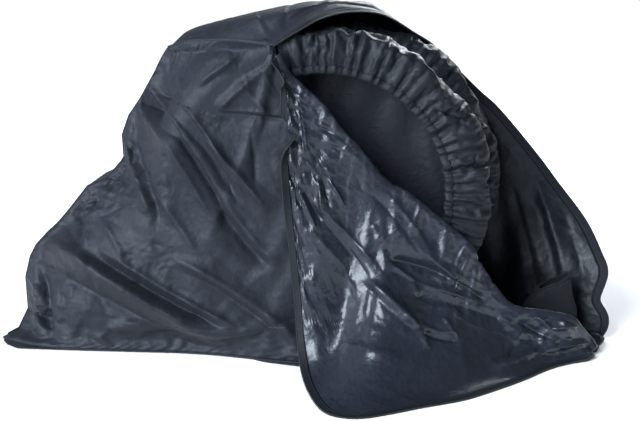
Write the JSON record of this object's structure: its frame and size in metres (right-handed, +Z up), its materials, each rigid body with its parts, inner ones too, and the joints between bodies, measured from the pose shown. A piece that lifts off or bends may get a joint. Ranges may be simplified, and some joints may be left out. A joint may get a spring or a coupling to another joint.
{
  "type": "bicycle cover",
  "caption": "Soft travel cover for a bicycle, draped as over the bike, its zipped door folded down to show the glossy inside, the wheel covers and a fork pocket.",
  "frame": {"origin": "the point under the cover's top where it lies on what it covers (mount bicycle_top)", "axes": "+X along the cover towards its open end, +Y away from the side with the folded door, +Z up"},
  "size_m": [1.3219, 0.6377, 0.729],
  "materials": {
    "cloth": "matt outside, glossy coating inside",
    "zip_tape": "woven tape",
    "cover_cloth": "smooth cloth, slight sheen",
    "pad": "matt padded cloth",
    "slider_metal": "dull metal"
  },
  "bodies": {
    "root": {"front_panel": "cloth", "back_panel": "cloth", "base_panel": "cloth", "door_zip_tape": "zip_tape", "back_zip_tape": "zip_tape", "near_wheel_cover": "cover_cloth", "far_wheel_cover": "cover_cloth", "fork_pocket": "pad", "zip_slider": "slider_metal"}
  },
  "joints": []
}
